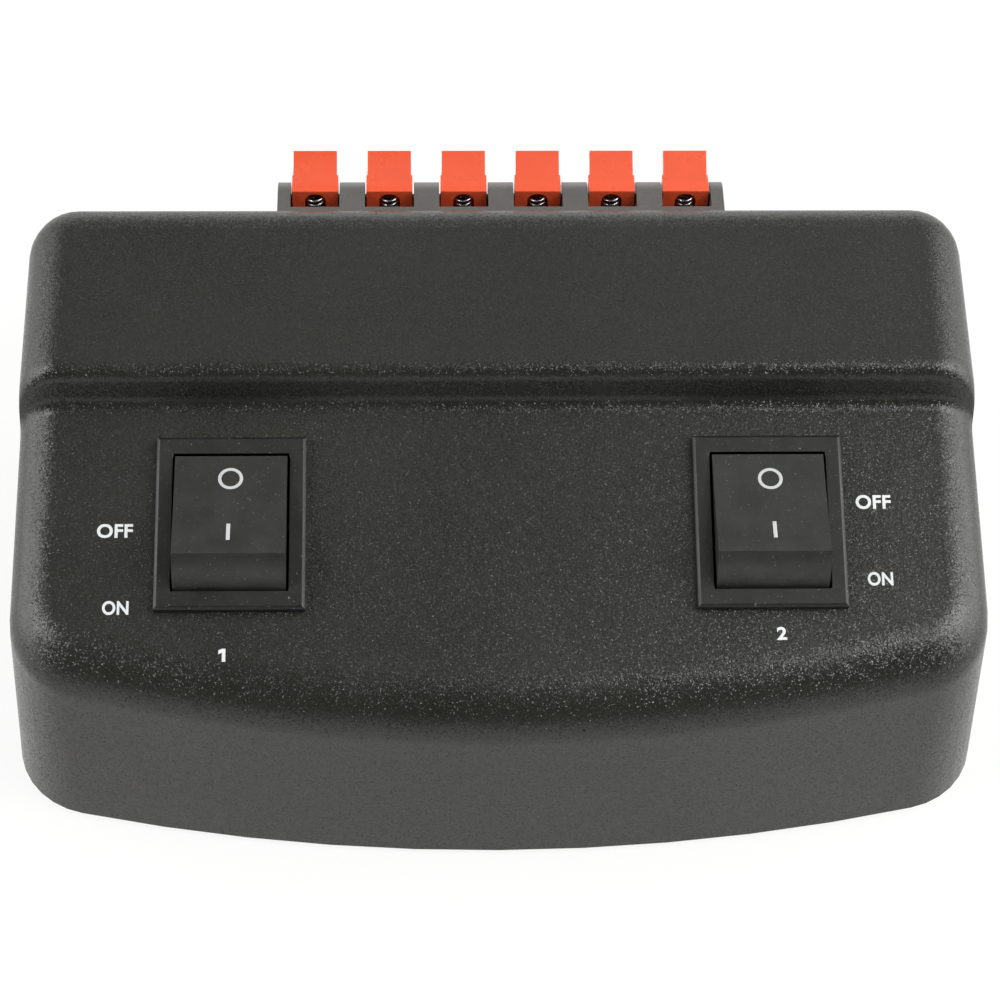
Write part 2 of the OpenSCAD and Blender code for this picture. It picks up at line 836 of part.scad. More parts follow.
module contact_strips(row) {
    color([0.82, 0.66, 0.3])
        for (column = [1:term_count])
            at_term(column, row)
                contact_strip();
}

module lever_form() {
    back = lever_front + lever_d;
    tab_y = lever_front + tab_root;
    difference() {
        union() {
            box([-lever_w / 2, lever_front, lever_foot], [lever_w / 2, back, half_h]);
            box(
                [-lever_w / 2 - foot_lug, lever_front, lever_foot],
                [lever_w / 2 + foot_lug, back, lever_foot + lug_h]);
            translate([0, tab_y, half_h])
                rotate([tab_turn, 0, 0])
                    box([-tab_w / 2, -tab_t * sin(tab_turn), -tab_t], [tab_w / 2, tab_len, 0]);
        }
        box([-window_w / 2, lever_front - pull, window_low], [window_w / 2, back + pull, window_top]);
        box(
            [-recess_r, lever_front - pull, recess_low],
            [recess_r, lever_front + recess_deep, recess_top - recess_r]);
        translate([0, lever_front - pull, recess_top - recess_r])
            rotate([-90, 0, 0])
                cylinder(r = recess_r, h = pull + recess_deep, $fn = pin_fn);
    }
}

module lever_red(column) {
    color([0.94, 0.3, 0.2])
        at_term(column, 1)
            lever_form();
}

module lever_black(column) {
    color([0.12, 0.12, 0.12])
        at_term(column, -1)
            lever_form();
}

lever_spring_h = spring_top - spring_seat - seat;

module lever_spring(column, row) {
    color([0.62, 0.64, 0.67])
        at_term(column, row)
            translate([0, spring_y, spring_seat + seat / 2])
                coil(spring_d, spring_wire, spring_turns, lever_spring_h);
}

echo(lever_spring_gap = least_gap(
    coil_path(spring_d, spring_wire, spring_turns, lever_spring_h),
    spring_wire));
echo(plunger_spring_gap = least_gap(
    coil_path(plunger_spring_d, plunger_spring_wire, plunger_spring_turns, plunger_spring_h),
    plunger_spring_wire));

// Wires: their ends on the switch blades and on the contact strips, and their routes
wire_r = 0.9;
wire_sides = 6;
solder_z = -housing_depth - blade_len + 1.5;
half_blade = blade_t / 2;
function in_switch(n, p) = [
    (n - 1.5) * switch_pitch + p[0],
    switch_y + p[1] * cos(panel_slope) - p[2] * sin(panel_slope),
    panel_z(switch_y) + p[1] * sin(panel_slope) + p[2] * cos(panel_slope)];
function strip_tail(column, row) = [
    term_x(column),
    rear_y - strip_in,
    term_mid + row * (strip_low + strip_t / 2)];
function backward(path) = [for (i = [len(path) - 1:-1:0]) path[i]];

module wire(path) {
    tube(path, wire_r, wire_sides, [1, 0.1, 0.2]);
}

// Amplifier feed: from a strip down and forward, under the switch, to the middle blade's back
function input_path(column, n, side) =
    let (a = strip_tail(column, 1), x = side * pole_x)
    concat(
        [a, a + [0, -3, 0], a + [side * 2, -11, -7], a + [side * 9, -14, -24],
            [in_switch(n, [x, 0, 0])[0] - side * 9, switch_y + 25, 12]],
        [for (p = [[6.5, -36], [2.4, solder_z]]) in_switch(n, [x, p[0], p[1]])],
        [in_switch(n, [x, half_blade, solder_z])]);

module wires_input() {
    color([0.75, 0.1, 0.1]) {
        wire(input_path(3, 1, -1));
        wire(input_path(4, 2, 1));
    }
}

// Link between the two switches: along the case in front of the blades, low down
function link_end(n, side, y, z) =
    let (x = side * pole_x)
    concat(
        [for (p = [[-half_blade, solder_z], [-2.4, solder_z]]) in_switch(n, [x, p[0], p[1]])],
        [[in_switch(n, [x, 0, 0])[0], switch_y + 6, z + 3],
            [in_switch(n, [x, 0, 0])[0] - (n - 1.5) * 8, switch_y + y, z]]);
function link_path(side, y, z) =
    concat(link_end(1, side, y, z), backward(link_end(2, side, y, z)));

module wires_link() {
    color([0.75, 0.1, 0.1]) {
        wire(link_path(-1, 3, 13.5));
        wire(link_path(1, 7, 8.5));
    }
}

// Loudspeaker feed: from a strip forward to the rear blade's back
function output_path(column, n, side) =
    let (a = strip_tail(column, 1), x = side * pole_x, y = fixed_y + half_blade)
    concat(
        [a, a + [0, -3, 0], a + [0, -8, -4]],
        [[(a[0] + in_switch(n, [x, 0, 0])[0]) / 2, switch_y + 32, 32]],
        [for (p = [[y + 6, solder_z + 2], [y + 2.4, solder_z], [y, solder_z]])
            in_switch(n, [x, p[0], p[1]])]);

module wires_output(n) {
    first = n == 1 ? 1 : 5;
    color([0.8, 0.75, 0.2]) {
        wire(output_path(first, n, -1));
        wire(output_path(first + 1, n, 1));
    }
}

// Return links between the black strips, looped forward by reach and down by sag
function return_path(from, to, reach, sag) =
    let (a = strip_tail(from, -1), b = strip_tail(to, -1), turn = 3 * sign(to - from))
    [a, a + [0, -2.5, 0], a + [turn, -reach, -sag],
        b + [-turn, -reach, -sag], b + [0, -2.5, 0], b];
function under_path(from, to, drop, reach) =
    let (a = strip_tail(from, -1) + [0, 1.3, -strip_t / 2], b = strip_tail(to, -1))
    [a, a + [0, 0, -2.5], a + [2, 0, -drop], [b[0] - 3, a[1] - reach / 2, a[2] - drop],
        b + [0, -reach, -4], b + [0, -2.5, 0], b];

module wires_return() {
    color([0.1, 0.1, 0.1]) {
        wire(return_path(3, 1, 4.5, 4.8));
        wire(return_path(4, 2, 7.5, 0));
        wire(under_path(3, 5, 10, 4.5));
        wire(under_path(4, 6, 6, 2.6));
    }
}

top_cover();
base_plate();
base_screws();
rubber_feet();
terminal_housing();
terminal_screws();
contact_strips(1);  // contact_strips_red
contact_strips(-1);  // contact_strips_black
for (n = [1, 2]) {
    switch_body(n);
    switch_blades(n);
    rocker(n);
    rocker_plungers(n);
    plunger_springs(n);
    contact_bridges(n);
}
for (n = [1:6]) {
    lever_red(n);
    lever_spring(n, 1);
    lever_black(n);
    lever_spring(n, -1);
}
wires_input();
wires_link();
for (n = [1, 2])
    wires_output(n);
wires_return();
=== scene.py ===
"""Looks of a desk-top loudspeaker switch console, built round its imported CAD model.

Lengths in the classes are millimetres, as a maker would give them; everything that goes
into Blender is in metres. The frame is the CAD's: +X right, +Y to the rear, +Z up.
"""
import json
import logging
import math
from dataclasses import dataclass
from enum import Enum

import bpy
from mathutils import Matrix, Vector


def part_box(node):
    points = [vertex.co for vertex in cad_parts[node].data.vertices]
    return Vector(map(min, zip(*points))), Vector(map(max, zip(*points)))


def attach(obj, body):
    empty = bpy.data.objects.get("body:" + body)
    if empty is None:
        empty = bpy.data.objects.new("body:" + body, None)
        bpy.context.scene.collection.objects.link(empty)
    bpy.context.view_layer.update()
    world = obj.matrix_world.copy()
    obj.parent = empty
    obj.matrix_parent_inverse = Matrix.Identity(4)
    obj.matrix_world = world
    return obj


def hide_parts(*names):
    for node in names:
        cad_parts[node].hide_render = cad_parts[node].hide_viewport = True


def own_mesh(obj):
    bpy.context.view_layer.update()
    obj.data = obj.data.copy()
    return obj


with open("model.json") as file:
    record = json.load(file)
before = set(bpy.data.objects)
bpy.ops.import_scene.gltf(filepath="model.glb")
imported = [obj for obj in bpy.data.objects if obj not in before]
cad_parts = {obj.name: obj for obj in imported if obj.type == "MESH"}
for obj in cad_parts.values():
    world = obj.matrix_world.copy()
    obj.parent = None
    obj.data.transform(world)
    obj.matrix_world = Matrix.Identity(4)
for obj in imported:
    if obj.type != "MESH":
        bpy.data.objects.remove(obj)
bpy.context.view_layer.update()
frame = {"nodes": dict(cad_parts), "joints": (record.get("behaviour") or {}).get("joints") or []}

MM = 0.001
log = logging.getLogger("console")

Colour = tuple[float, float, float]
Place = tuple[float, float, float]
DUST: Colour = (0.4, 0.4, 0.38)


class Row(Enum):
    """The two rows of wire terminals, the upper and the lower."""

    RED = "red"
    BLACK = "black"


class Face(Enum):
    """The way that a screw's head looks out of its countersink."""

    DOWN = "down"
    REAR = "rear"


# ---------------------------------------------------------------- materials


class Shader:
    """A Principled material whose patterns read Object coordinates."""

    def __init__(self, name: str) -> None:
        """Starts the material.

        Args:
            name: the material's name.
        """
        self.material = bpy.data.materials.new(name)
        self.material.use_nodes = True
        self.tree = self.material.node_tree
        self.surface = self.tree.nodes["Principled BSDF"]
        self.coords = self.tree.nodes.new("ShaderNodeTexCoord").outputs["Object"]
        self.normal: bpy.types.NodeSocket | None = None

    def set(self, **values: object) -> None:
        """Sets sockets of the surface; an underscore in a name stands for a space.

        Args:
            values: each socket's name and its value.
        """
        for name, value in values.items():
            self.surface.inputs[name.replace("_", " ")].default_value = value

    def stretched(self, scale: Place) -> bpy.types.NodeSocket:
        """Gives Object coordinates stretched along the axes.

        Args:
            scale: the factor on each axis.

        Returns:
            The socket that carries the vector.
        """
        node = self.tree.nodes.new("ShaderNodeMapping")
        node.inputs["Scale"].default_value = scale
        self.tree.links.new(self.coords, node.inputs["Vector"])
        return node.outputs["Vector"]

    def noise(
        self, size: float, detail: float = 2.0, rough: float = 0.5,
        vector: bpy.types.NodeSocket | None = None,
    ) -> bpy.types.NodeSocket:
        """Adds a cloudy pattern.

        Args:
            size: the size of its features, in millimetres.
            detail: how many finer layers lie over the first.
            rough: how strong the finer layers are.
            vector: the coordinates, if not the object's own.

        Returns:
            The pattern's value, about 0.3 to 0.7.
        """
        node = self.tree.nodes.new("ShaderNodeTexNoise")
        node.inputs["Scale"].default_value = 1.0 / (size * MM)
        node.inputs["Detail"].default_value = detail
        node.inputs["Roughness"].default_value = rough
        self.tree.links.new(vector or self.coords, node.inputs["Vector"])
        return node.outputs["Fac"]

    def spread(
        self, value: bpy.types.NodeSocket, low: float, high: float,
        to_low: float, to_high: float,
    ) -> bpy.types.NodeSocket:
        """Maps a value's range onto another.

        Args:
            value: the value to map.
            low: the value that becomes to_low.
            high: the value that becomes to_high.
            to_low: the new range's start.
            to_high: the new range's end.

        Returns:
            The mapped value.
        """
        node = self.tree.nodes.new("ShaderNodeMapRange")
        names = ("Value", "From Min", "From Max", "To Min", "To Max")
        for name, number in zip(names[1:], (low, high, to_low, to_high)):
            node.inputs[name].default_value = number
        self.tree.links.new(value, node.inputs["Value"])
        return node.outputs["Result"]

    def blend(
        self, fac: bpy.types.NodeSocket, first: Colour | bpy.types.NodeSocket, second: Colour,
    ) -> bpy.types.NodeSocket:
        """Blends two colours by a pattern.

        Args:
            fac: the share of the second colour.
            first: the colour at 0, linear, or the socket that carries it.
            second: the colour at 1, linear.

        Returns:
            The blended colour.
        """
        node = self.tree.nodes.new("ShaderNodeMix")
        node.data_type = "RGBA"
        start, end = (s for s in node.inputs if s.type == "RGBA")
        if isinstance(first, bpy.types.NodeSocket):
            self.tree.links.new(first, start)
        else:
            start.default_value = (*first, 1.0)
        end.default_value = (*second, 1.0)
        self.tree.links.new(fac, node.inputs[0])
        return next(s for s in node.outputs if s.type == "RGBA")

    def colour(self, socket: bpy.types.NodeSocket) -> None:
        """Feeds the base colour."""
        self.tree.links.new(socket, self.surface.inputs["Base Color"])

    def roughness(self, socket: bpy.types.NodeSocket) -> None:
        """Feeds the roughness."""
        self.tree.links.new(socket, self.surface.inputs["Roughness"])

    def bump(self, height: bpy.types.NodeSocket, depth: float) -> None:
        """Adds one layer of relief over those before it.

        Args:
            height: the pattern of the relief.
            depth: how deep a step from 0 to 1 is, in millimetres.
        """
        node = self.tree.nodes.new("ShaderNodeBump")
        node.inputs["Strength"].default_value = 1.0
        node.inputs["Distance"].default_value = depth * MM
        self.tree.links.new(height, node.inputs["Height"])
        if self.normal:
            self.tree.links.new(self.normal, node.inputs["Normal"])
        self.normal = node.outputs["Normal"]
        self.tree.links.new(self.normal, self.surface.inputs["Normal"])

    def facets(self, size: float, lean: float, share: float) -> None:
        """Leans the surface at random in small cells, so that it glints as fine pits do.

        Args:
            size: the size of a cell, in millimetres.
            lean: how far a middling cell leans, as a slope.
            share: the share of the cells that lean more than the least.
        """
        cells = self.tree.nodes.new("ShaderNodeTexVoronoi")
        cells.inputs["Scale"].default_value = 1.0 / (size * MM)
        self.tree.links.new(self.coords, cells.inputs["Vector"])
        parts = self.tree.nodes.new("ShaderNodeSeparateColor")
        self.tree.links.new(cells.outputs["Color"], parts.inputs["Color"])
        least, most = 0.12 * lean, 2.0 * lean
        reach = self.spread(parts.outputs["Blue"], 1.0 - share, 1.0, least, most)
        last = cells.outputs["Color"]
        for step in ("SUBTRACT", "SCALE", "ADD", "NORMALIZE"):
            node = self.tree.nodes.new("ShaderNodeVectorMath")
            node.operation = step
            self.tree.links.new(last, node.inputs[0])
            if step == "SUBTRACT":
                node.inputs[1].default_value = (0.5, 0.5, 1.0 - share / 2)
            if step == "SCALE":
                self.tree.links.new(reach, node.inputs["Scale"])
            if step == "ADD":
                self.tree.links.new(self.normal, node.inputs[1])
            last = node.outputs["Vector"]
        self.tree.links.new(last, self.surface.inputs["Normal"])


@dataclass(frozen=True)
class GrainedPlastic:
    """Moulded plastic with the pitted, faintly glinting grain of a spark-eroded mould."""

    name: str
    colour: Colour
    roughness: float
    grain: float
    depth: float
    glint: float
    specular: float = 0.5
    cloud: float = 38.0
    smudge: float = 14.0
    polish: float = 0.035
    dulling: float = 0.045
    swell: float = 2.4
    cell: float = 0.4
    leaning: float = 0.8

    def material(self) -> bpy.types.Material:
        """Builds the finish.

        Returns:
            The material.
        """
        shader = Shader(self.name)
        shader.set(Specular_IOR_Level=self.specular, IOR=1.5)
        cloud = shader.noise(self.cloud, 3.0, 0.55)
        dark = tuple(c * 0.9 for c in self.colour)
        pale = tuple(c * 1.12 for c in self.colour)
        shader.colour(shader.blend(shader.spread(cloud, 0.35, 0.65, 0.0, 1.0), dark, pale))
        smudge = shader.noise(self.smudge, 4.0, 0.6)
        shader.roughness(shader.spread(
            smudge, 0.3, 0.7, self.roughness - self.polish, self.roughness + self.dulling))
        shader.bump(shader.noise(self.grain * self.swell, 1.0), self.depth * 0.5)
        shader.bump(shader.noise(self.grain, 2.0, 0.7), self.depth)
        shader.facets(self.grain * self.cell, self.glint, self.leaning)
        return shader.material


@dataclass(frozen=True)
class SatinPlastic:
    """Smooth moulded plastic with a faint ripple, light rubbing and specks of dust."""

    name: str
    colour: Colour
    roughness: float
    ripple: float = 0.012
    glow: float = 0.0
    coat: float = 0.0
    mottle: float = 0.08
    dust: float = 0.0
    cloud: float = 6.0
    rub: float = 4.5
    speck: float = 0.45
    scatter: float = 1.2
    wave: float = 2.4
    pore: float = 0.22

    def material(self) -> bpy.types.Material:
        """Builds the finish.

        Returns:
            The material.
        """
        shader = Shader(self.name)
        shader.set(Specular_IOR_Level=0.5, IOR=1.5)
        if self.glow:
            shader.set(Subsurface_Weight=self.glow, Subsurface_Scale=self.scatter * MM)
            shader.set(Subsurface_Radius=(1.0, 0.35, 0.2))
        if self.coat:
            shader.set(Coat_Weight=self.coat, Coat_Roughness=0.12)
        dark = tuple(c * (1.0 - self.mottle) for c in self.colour)
        pale = tuple(min(1.0, c * (1.0 + self.mottle)) for c in self.colour)
        cloud = shader.noise(self.cloud, 5.0, 0.7)
        body = shader.blend(shader.spread(cloud, 0.35, 0.65, 0.0, 1.0), dark, pale)
        if self.dust:
            specks = shader.noise(self.speck, 2.0, 0.6)
            body = shader.blend(shader.spread(specks, 0.66, 0.76, 0.0, self.dust), body, DUST)
        shader.colour(body)
        rubbed = shader.noise(self.rub, 5.0, 0.65)
        half = self.mottle / 2
        shader.roughness(shader.spread(
            rubbed, 0.3, 0.7, self.roughness - half, self.roughness + half))
        shader.bump(shader.noise(self.wave, 1.0), self.ripple)
        shader.bump(shader.noise(self.pore, 2.0, 0.6), self.ripple * 0.35)
        return shader.material


@dataclass(frozen=True)
class WorkedMetal:
    """Metal with the fine lines that drawing, stamping or plating leaves."""

    name: str
    colour: Colour
    roughness: float
    lines: Place = (1.0, 1.0, 9.0)
    depth: float = 0.004
    tarnish: float = 2.8
    line: float = 0.9
    polish: float = 0.07
    dulling: float = 0.1

    def material(self) -> bpy.types.Material:
        """Builds the finish.

        Returns:
            The material.
        """
        shader = Shader(self.name)
        shader.set(Metallic=1.0)
        dull = tuple(c * 0.82 for c in self.colour)
        tarnish = shader.noise(self.tarnish, 4.0, 0.6)
        shader.colour(shader.blend(shader.spread(tarnish, 0.35, 0.7, 0.0, 1.0), self.colour, dull))
        line = shader.noise(self.line, 3.0, 0.6, shader.stretched(self.lines))
        shader.roughness(shader.spread(
            line, 0.3, 0.7, self.roughness - self.polish, self.roughness + self.dulling))
        shader.bump(line, self.depth)
        return shader.material


@dataclass(frozen=True)
class Rubber:
    """Matt rubber with a dusty, slightly pitted skin."""

    name: str
    colour: Colour
    patch: float = 5.0
    pit: float = 0.5
    depth: float = 0.05

    def material(self) -> bpy.types.Material:
        """Builds the finish.

        Returns:
            The material.
        """
        shader = Shader(self.name)
        shader.set(Specular_IOR_Level=0.35, IOR=1.5)
        dust = shader.noise(self.patch, 5.0, 0.7)
        pale = tuple(c + 0.035 for c in self.colour)
        shader.colour(shader.blend(shader.spread(dust, 0.45, 0.75, 0.0, 1.0), self.colour, pale))
        shader.roughness(shader.spread(dust, 0.3, 0.7, 0.72, 0.9))
        shader.bump(shader.noise(self.pit, 3.0, 0.7), self.depth)
        return shader.material


@dataclass(frozen=True)
class Ink:
    """Screen-printed ink, a little uneven where the mesh laid it thin."""

    name: str
    colour: Colour
    patch: float = 0.35
    depth: float = 0.01

    def material(self) -> bpy.types.Material:
        """Builds the finish.

        Returns:
            The material.
        """
        shader = Shader(self.name)
        shader.set(Specular_IOR_Level=0.4, IOR=1.45)
        thin = shader.noise(self.patch, 3.0, 0.65)
        worn = tuple(c * 0.9 for c in self.colour)
        shader.colour(shader.blend(shader.spread(thin, 0.5, 0.75, 0.0, 1.0), self.colour, worn))
        shader.roughness(shader.spread(thin, 0.3, 0.7, 0.42, 0.56))
        shader.bump(thin, self.depth)
        return shader.material


Finish = GrainedPlastic | SatinPlastic | WorkedMetal | Rubber | Ink

CASE = GrainedPlastic(
    "case_grain", (0.0175, 0.018, 0.0145), roughness=0.26, grain=0.42, depth=0.06, glint=0.42)
BASE = GrainedPlastic(
    "base_grain", (0.022, 0.022, 0.021), roughness=0.5, grain=0.8, depth=0.04, glint=0.12)
BLOCK = SatinPlastic("block_satin", (0.1, 0.095, 0.09), 0.26)
SWITCH = SatinPlastic(
    "switch_satin", (0.011, 0.0115, 0.01), 0.4, ripple=0.02, mottle=0.22, dust=0.35)
ROCKER = SatinPlastic(
    "rocker_satin", (0.021, 0.0215, 0.0195), 0.4, ripple=0.03, mottle=0.22, dust=0.3)
LEVER_RED = SatinPlastic(
    "lever_red_gloss", (0.73, 0.09, 0.033), 0.28, ripple=0.01, glow=0.12, coat=0.25, mottle=0.03)
LEVER_BLACK = SatinPlastic(
    "lever_black_gloss", (0.012, 0.012, 0.012), 0.26, ripple=0.01, coat=0.25)
NYLON = SatinPlastic("nylon", (0.78, 0.76, 0.68), 0.45, ripple=0.01, glow=0.2)
FOOT = Rubber("foot_rubber", (0.012, 0.012, 0.012))
ZINC = WorkedMetal("zinc_plate", (0.62, 0.63, 0.65), 0.3, lines=(1.0, 1.0, 1.0), depth=0.006)
SPRING = WorkedMetal(
    "spring_wire", (0.55, 0.56, 0.58), 0.28, lines=(1.0, 1.0, 5.0), depth=0.003)
BRASS = WorkedMetal("brass_strip", (0.72, 0.5, 0.2), 0.32, lines=(8.0, 1.0, 1.0))
COPPER = WorkedMetal("contact_copper", (0.72, 0.36, 0.2), 0.35, lines=(8.0, 1.0, 1.0))
WIRE_RED = SatinPlastic("wire_red", (0.42, 0.012, 0.01), 0.38)
WIRE_YELLOW = SatinPlastic("wire_yellow", (0.7, 0.44, 0.02), 0.38)
WIRE_BLACK = SatinPlastic("wire_black", (0.01, 0.01, 0.01), 0.38)
INK = Ink("white_ink", (0.68, 0.7, 0.7))
PAINT = Ink("grey_paint", (0.5, 0.51, 0.51))

_made: dict[str, bpy.types.Material] = {}


def dress(piece: bpy.types.Object, finish: Finish) -> None:
    """Gives a piece one finish all over.

    Args:
        piece: the piece or CAD node.
        finish: the finish, made once and shared.
    """
    if finish.name not in _made:
        _made[finish.name] = finish.material()
    if not piece.material_slots:
        piece.data.materials.append(None)
    for slot in piece.material_slots:
        slot.link = "OBJECT"
        slot.material = _made[finish.name]


# ---------------------------------------------------------------- workshop


def take(piece: bpy.types.Object) -> None:
    """Deselects everything, then selects a piece and makes it active.

    Args:
        piece: the piece.
    """
    bpy.ops.object.select_all(action="DESELECT")
    piece.select_set(True)
    bpy.context.view_layer.objects.active = piece


def named(name: str) -> bpy.types.Object:
    """Names the active object and its data.

    Args:
        name: the name.

    Returns:
        The object.
    """
    piece = bpy.context.active_object
    piece.name = name
    piece.data.name = name
    return piece


def modify(piece: bpy.types.Object, kind: str, **settings: object) -> None:
    """Adds a modifier and applies it.

    Args:
        piece: the piece to change.
        kind: the modifier's type.
        settings: its settings.
    """
    take(piece)
    modifier = piece.modifiers.new(kind.lower(), kind)
    for name, value in settings.items():
        setattr(modifier, name, value)
    bpy.ops.object.modifier_apply(modifier=modifier.name)


def soften(piece: bpy.types.Object, width: float, segments: int = 2, over: float = 40) -> None:
    """Rounds a piece's sharp edges.

    Args:
        piece: the piece to round.
        width: the rounding's width, in millimetres.
        segments: how many faces round an edge.
        over: the least angle of a rounded edge, in degrees.
    """
    modify(
        piece, "BEVEL", width=width * MM, segments=segments, limit_method="ANGLE",
        angle_limit=math.radians(over), use_clamp_overlap=True, miter_outer="MITER_ARC")


def smooth(piece: bpy.types.Object, under: float = 35) -> None:
    """Shades a piece smooth, its large faces flat and its sharp edges sharp.

    Args:
        piece: the piece to shade.
        under: the largest angle that stays smooth, in degrees.
    """
    take(piece)
    bpy.ops.object.shade_smooth_by_angle(angle=math.radians(under))
    modify(piece, "WEIGHTED_NORMAL", keep_sharp=True, weight=60, mode="FACE_AREA")


def recut(node: str, name: str, flat: float = 0.2) -> bpy.types.Object:
    """Copies a CAD node and joins its loose triangles into whole, convex faces.

    Args:
        node: the CAD node.
        name: the new piece's name.
        flat: faces that meet at less than this many degrees are joined.

    Returns:
        The new piece.
    """
    piece = frame["nodes"][node].copy()
    piece.data = piece.data.copy()
    piece.name = name
    piece.data.name = name
    piece.parent = None
    piece.matrix_world = Matrix.Identity(4)
    for key in [k for k in piece.keys() if k.startswith("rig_")]:
        del piece[key]
    bpy.context.scene.collection.objects.link(piece)
    piece.hide_render = False
    piece.hide_viewport = False
    take(piece)
    bpy.ops.mesh.customdata_custom_splitnormals_clear()
    bpy.ops.object.mode_set(mode="EDIT")
    bpy.ops.mesh.select_all(action="SELECT")
    bpy.ops.mesh.remove_doubles(threshold=2e-6)
    bpy.ops.mesh.dissolve_limited(angle_limit=math.radians(flat))
    bpy.ops.mesh.vert_connect_concave()
    bpy.ops.object.mode_set(mode="OBJECT")
    return piece


def seat(piece: bpy.types.Object, body: str, slot: str, *nodes: str) -> None:
    """Mounts a finished piece on its body in place of CAD nodes.

    Args:
        piece: the finished piece.
        body: the CAD body that it moves with.
        slot: not used.
        nodes: the CAD nodes that it stands for.
    """
    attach(piece, body)
    if nodes:
        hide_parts(*nodes)
    log.info("%s: %d faces on %s", piece.name, len(piece.data.polygons), body)


def refine(
    node: str, name: str, finish: Finish, body: str, slot: str,
    edge: float, segments: int = 2, over: float = 40,
) -> None:
    """Makes the finished piece of a CAD node: its copy, with rounded edges, in its finish.

    Args:
        node: the CAD node.
        name: the new piece's name.
        finish: the finish.
        body: the CAD body that it moves with.
        slot: the record's material slot.
        edge: the edges' rounding, in millimetres.
        segments: how many faces round an edge.
        over: the least angle of a rounded edge, in degrees.
    """
    piece = recut(node, name)
    soften(piece, edge, segments, over)
    smooth(piece)
    dress(piece, finish)
    seat(piece, body, slot, node)


def move(piece: bpy.types.Object, place: Matrix) -> None:
    """Carries a piece to its place and applies it, so that its object stays at the origin.

    Args:
        piece: the piece, made round the origin.
        place: the place, in metres.
    """
    take(piece)
    piece.matrix_world = place @ piece.matrix_world
    bpy.context.view_layer.update()
    bpy.ops.object.transform_apply(location=True, rotation=True, scale=True)


def coil(name: str, across: float, wire: float, turns: int, height: float) -> bpy.types.Object:
    """Winds a coil spring that stands on the origin's plane.

    Args:
        name: the piece's name.
        across: the outside diameter, in millimetres.
        wire: the wire's diameter, in millimetres.
        turns: the number of turns.
        height: the whole height, in millimetres.

    Returns:
        The spring.
    """
    bpy.ops.object.select_all(action="DESELECT")
    bpy.ops.mesh.primitive_circle_add(
        vertices=10, radius=wire / 2 * MM, location=((across - wire) / 2 * MM, 0, wire / 2 * MM),
        rotation=(math.pi / 2, 0, 0))
    piece = named(name)
    bpy.ops.object.transform_apply(location=True, rotation=True, scale=True)
    modify(
        piece, "SCREW", axis="Z", angle=2 * math.pi, iterations=turns, steps=28,
        render_steps=28, screw_offset=(height - wire) / turns * MM, use_merge_vertices=False)
    take(piece)
    bpy.ops.object.mode_set(mode="EDIT")
    bpy.ops.mesh.select_all(action="SELECT")
    bpy.ops.mesh.remove_doubles(threshold=1e-7)
    bpy.ops.mesh.fill_holes(sides=0)
    bpy.ops.mesh.select_all(action="SELECT")
    bpy.ops.mesh.normals_make_consistent(inside=False)
    bpy.ops.object.mode_set(mode="OBJECT")
    bpy.ops.object.shade_smooth_by_angle(angle=math.radians(50))
    return piece


def again(piece: bpy.types.Object, name: str) -> bpy.types.Object:
    """Copies a piece with its own mesh.

    Args:
        piece: the piece to copy.
        name: the copy's name.

    Returns:
        The copy.
    """
    twin = piece.copy()
    twin.data = piece.data.copy()
    twin.name = name
    twin.data.name = name
    bpy.context.scene.collection.objects.link(twin)
    return twin


# ---------------------------------------------------------------- places


def joint(name: str) -> dict:
    """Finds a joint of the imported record.

    Args:
        name: the joint's name.

    Returns:
        The joint.
    """
    return next(entry for entry in frame["joints"] if entry["name"] == name)


@dataclass
class Panel:
    """The sloping switch panel and the rockers in it, placed by the rockers' joints.

    The slope is in degrees. Depth is how far the pivots lie below the bezels' tops, and
    pressed is how far the pressed end of a rocker stands above them.
    """

    slope: float = 18.0
    bezel: float = 1.8
    depth: float = 4.9
    mouth: float = 24.5
    gap: float = 0.4
    pressed: float = 0.5
    dish: float = 0.5

    def pivots(self, x: float) -> Matrix:
        """Gives a place on the line of the rockers' pivots.

        Args:
            x: the place's own X, in metres.

        Returns:
            The place, with its own Z square to the panel, in metres.
        """
        _, y, z = joint("rocker_1_tip")["pos_m"]
        return Matrix.Translation((x, y, z)) @ Matrix.Rotation(math.radians(self.slope), 4, "X")

    def at(self, x: float, along: float) -> Matrix:
        """Gives a place on the panel.

        Args:
            x: the distance to the right of the middle.
            along: the distance up the slope from the switches' centre line.

        Returns:
            The place, with its own Z square to the panel, in metres.
        """
        above = self.depth - self.bezel
        return self.pivots(0.0) @ Matrix.Translation(Vector((x, along, above)) * MM)

    def rocker(self, n: int, x: float, along: float, above: float) -> Matrix:
        """Gives a place on a rocker at rest, tipped half its swing to the rear.

        Args:
            n: the switch's number, 1 or 2.
            x: the distance to the right of the rocker's middle.
            along: the distance to the rear of the pivot, on the rocker.
            above: the height above the pivot, on the rocker.

        Returns:
            The place, in metres.
        """
        tip = joint(f"rocker_{n}_tip")
        turn = Matrix.Rotation(-math.radians(tip["range_deg"][1] / 2), 4, "X")
        place = Matrix.Translation(Vector((x, along, above)) * MM)
        return self.pivots(tip["pos_m"][0]) @ turn @ place

    def hollow(self, along: float) -> float:
        """Gives the height of a rocker's hollow top above its pivot.

        Args:
            along: the distance from the pivot, on the rocker.

        Returns:
            The height, in millimetres.
        """
        end = math.hypot(self.mouth / 2 - self.gap, self.depth)
        swing = math.radians(joint("rocker_1_tip")["range_deg"][1])
        angle = math.asin((self.depth + self.pressed) / end) + swing / 2
        edge = end * math.cos(angle)
        radius = (edge * edge + self.dish * self.dish) / (2 * self.dish)
        bottom = end * math.sin(angle) - self.dish
        return bottom + radius - math.sqrt(radius * radius - along * along)


PANEL = Panel()


# ---------------------------------------------------------------- sub-assemblies


